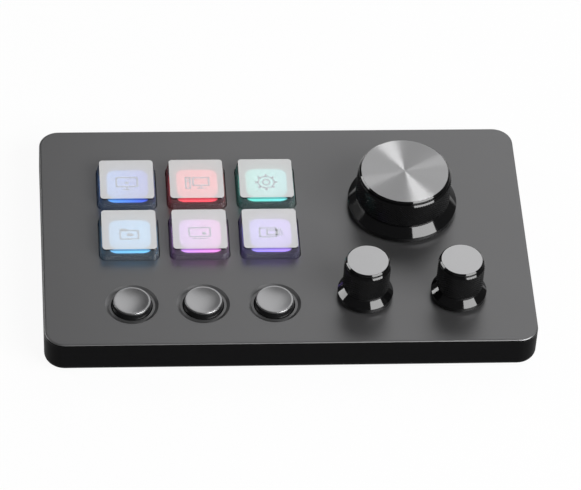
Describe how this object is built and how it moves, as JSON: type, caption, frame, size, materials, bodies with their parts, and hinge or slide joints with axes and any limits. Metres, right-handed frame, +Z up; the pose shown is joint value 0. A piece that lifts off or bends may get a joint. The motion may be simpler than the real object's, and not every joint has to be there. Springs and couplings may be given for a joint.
{
  "type": "macro keypad with knobs",
  "caption": "Low desk keypad with a grid of lit display keys, a row of dished round buttons and ribbed skirted knobs.",
  "frame": {"origin": "under the middle of the case, on the surface that the feet stand on", "axes": "+X to the right along the case's width, +Y towards the back edge with the socket, +Z up"},
  "size_m": [0.133, 0.0816, 0.0245],
  "materials": {
    "grey_face": "fine matt, soft-touch grey",
    "black_shell": "satin moulded black",
    "foot_rubber": "matt black rubber",
    "screw_steel": "zinc-plated",
    "circuit_board": "green solder mask",
    "inner_plastic": "plain moulded black",
    "silicone": "milky silicone",
    "flex_film": "amber film",
    "ivory_plastic": "plain moulded ivory",
    "nickel_shell": "nickel-plated sheet",
    "chip_body": "moulded epoxy",
    "small_parts": "ceramic parts",
    "encoder_case": "tin-plated case",
    "encoder_metal": "nickel-plated, machined",
    "clear_cap": "polished clear moulding",
    "black_frame": "smooth moulded black",
    "button_plastic": "fine satin grey-black",
    "knob_plastic": "black, ribbed grip",
    "spun_aluminium": "spun, fine circular grain",
    "display_1": "lit display",
    "display_2": "lit display",
    "display_3": "lit display",
    "display_4": "lit display",
    "display_5": "lit display",
    "display_6": "lit display"
  },
  "bodies": {
    "case": {"face_plate": "grey_face", "housing": "black_shell", "bottom_cover": "black_shell", "rubber_feet": "foot_rubber", "case_screws": "screw_steel", "main_board": "circuit_board", "board_screws": "screw_steel", "key_guide": "inner_plastic", "dome_mat": "silicone", "display_tails": "flex_film", "display_sockets": "ivory_plastic", "usb_socket": "nickel_shell", "usb_tongue": "inner_plastic", "main_chip": "chip_body", "board_parts": "small_parts", "main_encoder": "encoder_case", "left_encoder": "encoder_case", "right_encoder": "encoder_case", "main_bushing": "encoder_metal", "left_bushing": "encoder_metal", "right_bushing": "encoder_metal", "encoder_nuts": "encoder_metal"},
    "key_1": {"keycap_1": "clear_cap", "display_1": "display_1", "key_frame_1": "black_frame"},
    "key_2": {"keycap_2": "clear_cap", "display_2": "display_2", "key_frame_2": "black_frame"},
    "key_3": {"keycap_3": "clear_cap", "display_3": "display_3", "key_frame_3": "black_frame"},
    "key_4": {"keycap_4": "clear_cap", "display_4": "display_4", "key_frame_4": "black_frame"},
    "key_5": {"keycap_5": "clear_cap", "display_5": "display_5", "key_frame_5": "black_frame"},
    "key_6": {"keycap_6": "clear_cap", "display_6": "display_6", "key_frame_6": "black_frame"},
    "button_1": {"button_cap_1": "button_plastic"},
    "button_2": {"button_cap_2": "button_plastic"},
    "button_3": {"button_cap_3": "button_plastic"},
    "main_press": {"main_plunger": "ivory_plastic"},
    "main_turn": {"main_shaft": "encoder_metal", "main_knob": "knob_plastic", "main_disc": "spun_aluminium"},
    "left_press": {"left_plunger": "ivory_plastic"},
    "left_turn": {"left_shaft": "encoder_metal", "left_knob": "knob_plastic", "left_disc": "spun_aluminium"},
    "right_press": {"right_plunger": "ivory_plastic"},
    "right_turn": {"right_shaft": "encoder_metal", "right_knob": "knob_plastic", "right_disc": "spun_aluminium"}
  },
  "joints": [
    {"name": "key_1_press", "type": "slide", "parent": "case", "child": "key_1", "axis": [0, 0, -1], "range_m": [0, 0.0012], "stiffness_N_per_m": 300, "springref_m": -0.0005, "deforming": ["dome_mat", "display_tails"]},
    {"name": "key_2_press", "type": "slide", "parent": "case", "child": "key_2", "axis": [0, 0, -1], "range_m": [0, 0.0012], "stiffness_N_per_m": 300, "springref_m": -0.0005, "deforming": ["dome_mat", "display_tails"]},
    {"name": "key_3_press", "type": "slide", "parent": "case", "child": "key_3", "axis": [0, 0, -1], "range_m": [0, 0.0012], "stiffness_N_per_m": 300, "springref_m": -0.0005, "deforming": ["dome_mat", "display_tails"]},
    {"name": "key_4_press", "type": "slide", "parent": "case", "child": "key_4", "axis": [0, 0, -1], "range_m": [0, 0.0012], "stiffness_N_per_m": 300, "springref_m": -0.0005, "deforming": ["dome_mat", "display_tails"]},
    {"name": "key_5_press", "type": "slide", "parent": "case", "child": "key_5", "axis": [0, 0, -1], "range_m": [0, 0.0012], "stiffness_N_per_m": 300, "springref_m": -0.0005, "deforming": ["dome_mat", "display_tails"]},
    {"name": "key_6_press", "type": "slide", "parent": "case", "child": "key_6", "axis": [0, 0, -1], "range_m": [0, 0.0012], "stiffness_N_per_m": 300, "springref_m": -0.0005, "deforming": ["dome_mat", "display_tails"]},
    {"name": "button_1_press", "type": "slide", "parent": "case", "child": "button_1", "axis": [0, 0, -1], "range_m": [0, 0.0006], "stiffness_N_per_m": 500, "springref_m": -0.0004, "deforming": ["dome_mat"]},
    {"name": "button_2_press", "type": "slide", "parent": "case", "child": "button_2", "axis": [0, 0, -1], "range_m": [0, 0.0006], "stiffness_N_per_m": 500, "springref_m": -0.0004, "deforming": ["dome_mat"]},
    {"name": "button_3_press", "type": "slide", "parent": "case", "child": "button_3", "axis": [0, 0, -1], "range_m": [0, 0.0006], "stiffness_N_per_m": 500, "springref_m": -0.0004, "deforming": ["dome_mat"]},
    {"name": "main_knob_press", "type": "slide", "parent": "case", "child": "main_press", "axis": [0, 0, -1], "range_m": [0, 0.00045], "stiffness_N_per_m": 1500, "springref_m": -0.0006},
    {"name": "main_knob_turn", "type": "hinge", "parent": "main_press", "child": "main_turn", "pos_m": [0.03315, 0.01075, 0.011], "axis": [0, 0, 1], "continuous": true},
    {"name": "left_knob_press", "type": "slide", "parent": "case", "child": "left_press", "axis": [0, 0, -1], "range_m": [0, 0.00045], "stiffness_N_per_m": 1500, "springref_m": -0.0006},
    {"name": "left_knob_turn", "type": "hinge", "parent": "left_press", "child": "left_turn", "pos_m": [0.02045, -0.0233, 0.011], "axis": [0, 0, 1], "continuous": true},
    {"name": "right_knob_press", "type": "slide", "parent": "case", "child": "right_press", "axis": [0, 0, -1], "range_m": [0, 0.00045], "stiffness_N_per_m": 1500, "springref_m": -0.0006},
    {"name": "right_knob_turn", "type": "hinge", "parent": "right_press", "child": "right_turn", "pos_m": [0.04585, -0.0233, 0.011], "axis": [0, 0, 1], "continuous": true}
  ]
}
